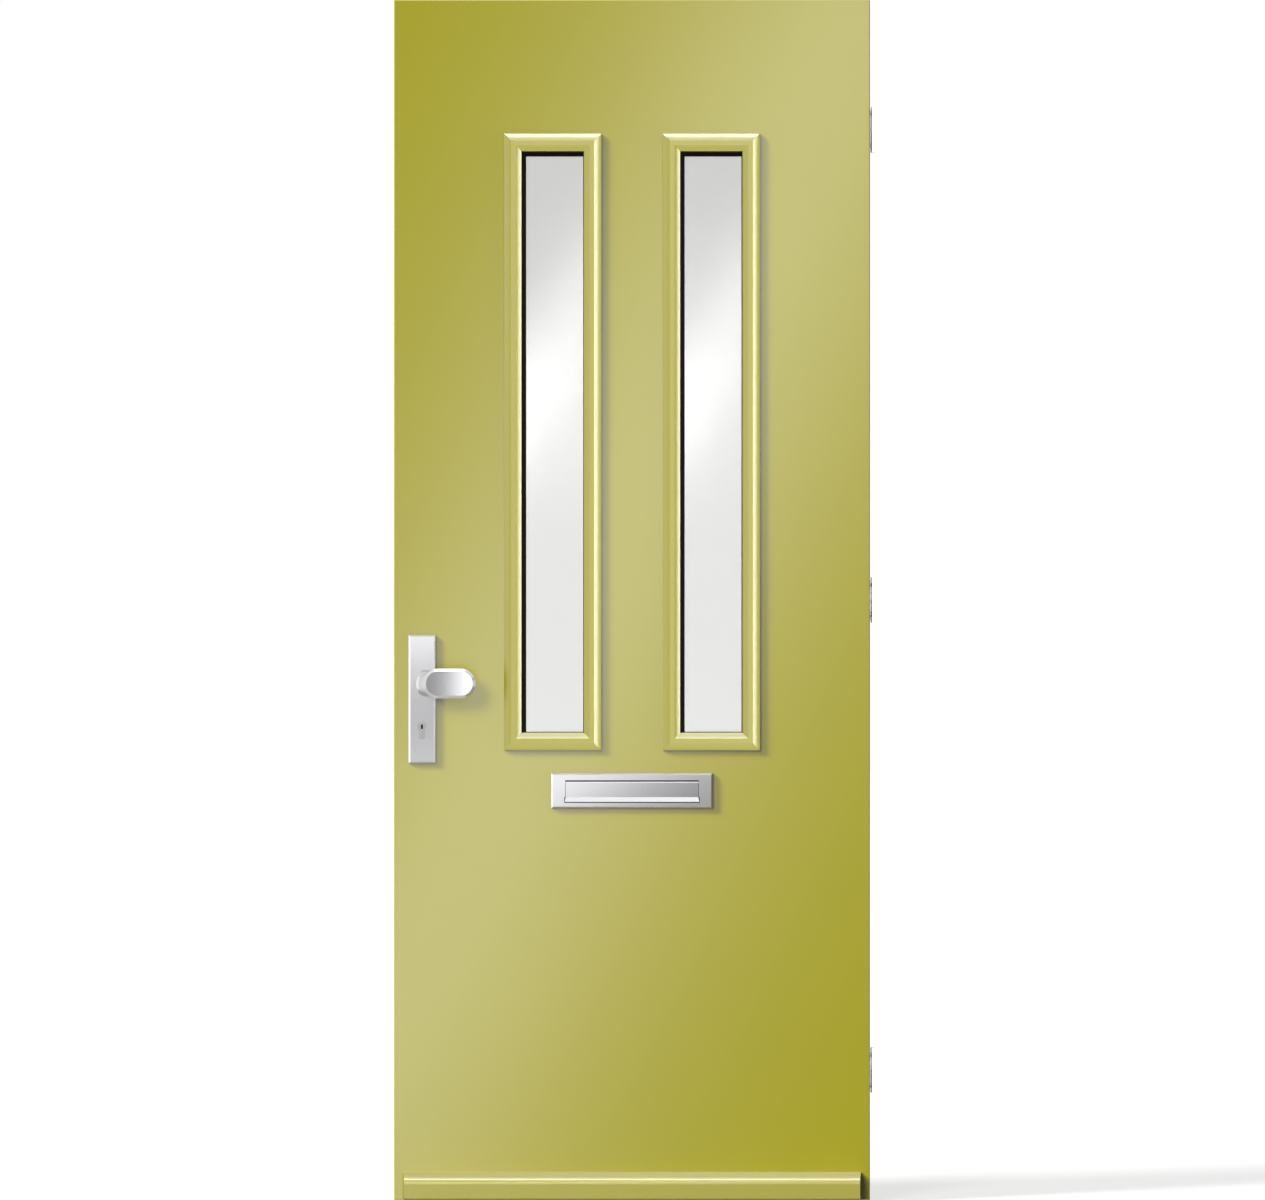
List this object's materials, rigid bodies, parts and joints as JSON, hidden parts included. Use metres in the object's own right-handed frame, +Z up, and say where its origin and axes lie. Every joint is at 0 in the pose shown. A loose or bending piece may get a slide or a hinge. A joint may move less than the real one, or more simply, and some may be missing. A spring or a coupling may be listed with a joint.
{
  "type": "front door",
  "caption": "Flush painted front door leaf with two tall narrow glazed lights, a cranked oval knob on a long lock plate, a letter plate with a lifting flap, a weather bar and lift-off hinges.",
  "frame": {"origin": "on the jamb side of the bottom hinge's frame plate, at mid-thickness of the leaf and mid-height of that hinge", "axes": "+Z up along the leaf's height, +X across the leaf towards the hinge jamb, +Y into the building (the outer face looks to -Y)"},
  "size_m": [0.94, 0.169, 2.345],
  "materials": {
    "painted_timber": "satin paint",
    "insulating_core": "foam",
    "satin_glass": "satin etched",
    "black_rubber": "matt",
    "black_plastic": "matt",
    "satin_aluminium": "satin anodised",
    "nickel_plated_brass": "satin nickel",
    "satin_steel": "satin"
  },
  "bodies": {
    "frame_hinges": {"bottom_hinge_frame_plate": "satin_steel", "middle_hinge_frame_plate": "satin_steel", "top_hinge_frame_plate": "satin_steel"},
    "leaf": {"outer_skin": "painted_timber", "inner_skin": "painted_timber", "hinge_stile": "painted_timber", "lock_stile": "painted_timber", "top_rail": "painted_timber", "bottom_rail": "painted_timber", "weather_bar": "painted_timber", "left_outer_moulding": "painted_timber", "right_outer_moulding": "painted_timber", "left_inner_moulding": "painted_timber", "right_inner_moulding": "painted_timber", "core_panel": "insulating_core", "left_outer_pane": "satin_glass", "right_outer_pane": "satin_glass", "left_inner_pane": "satin_glass", "right_inner_pane": "satin_glass", "left_gaskets": "black_rubber", "right_gaskets": "black_rubber", "left_pane_spacer": "black_plastic", "right_pane_spacer": "black_plastic", "letter_sleeve": "black_plastic", "letter_plate": "satin_aluminium", "inside_letter_frame": "satin_aluminium", "outside_plate": "satin_aluminium", "outside_knob": "satin_aluminium", "inside_plate": "satin_aluminium", "inside_lever": "satin_aluminium", "lock_cylinder": "nickel_plated_brass", "letter_flap_pin": "satin_steel", "mortice_lock": "satin_steel", "latch_bolt": "satin_steel", "dead_bolt": "satin_steel", "bottom_hinge_leaf_plate": "satin_steel", "middle_hinge_leaf_plate": "satin_steel", "top_hinge_leaf_plate": "satin_steel"},
    "letter_flap": {"letter_flap": "satin_aluminium"},
    "key_plug": {"cylinder_plug": "nickel_plated_brass"}
  },
  "joints": [
    {"name": "leaf_swing", "type": "hinge", "parent": "frame_hinges", "child": "leaf", "pos_m": [-0.0055, 0.036, 0], "axis": [0, 0, -1], "range_deg": [0, 110]},
    {"name": "letter_flap_lift", "type": "hinge", "parent": "leaf", "child": "letter_flap", "pos_m": [-0.473, -0.0329, 0.566], "axis": [-1, 0, 0], "range_deg": [0, 85], "stiffness_Nm_per_rad": 0.03, "springref_deg": -28.65},
    {"name": "key_plug_turn", "type": "hinge", "parent": "leaf", "child": "key_plug", "pos_m": [-0.883, -0.0385, 0.675], "axis": [0, -1, 0], "continuous": true}
  ]
}
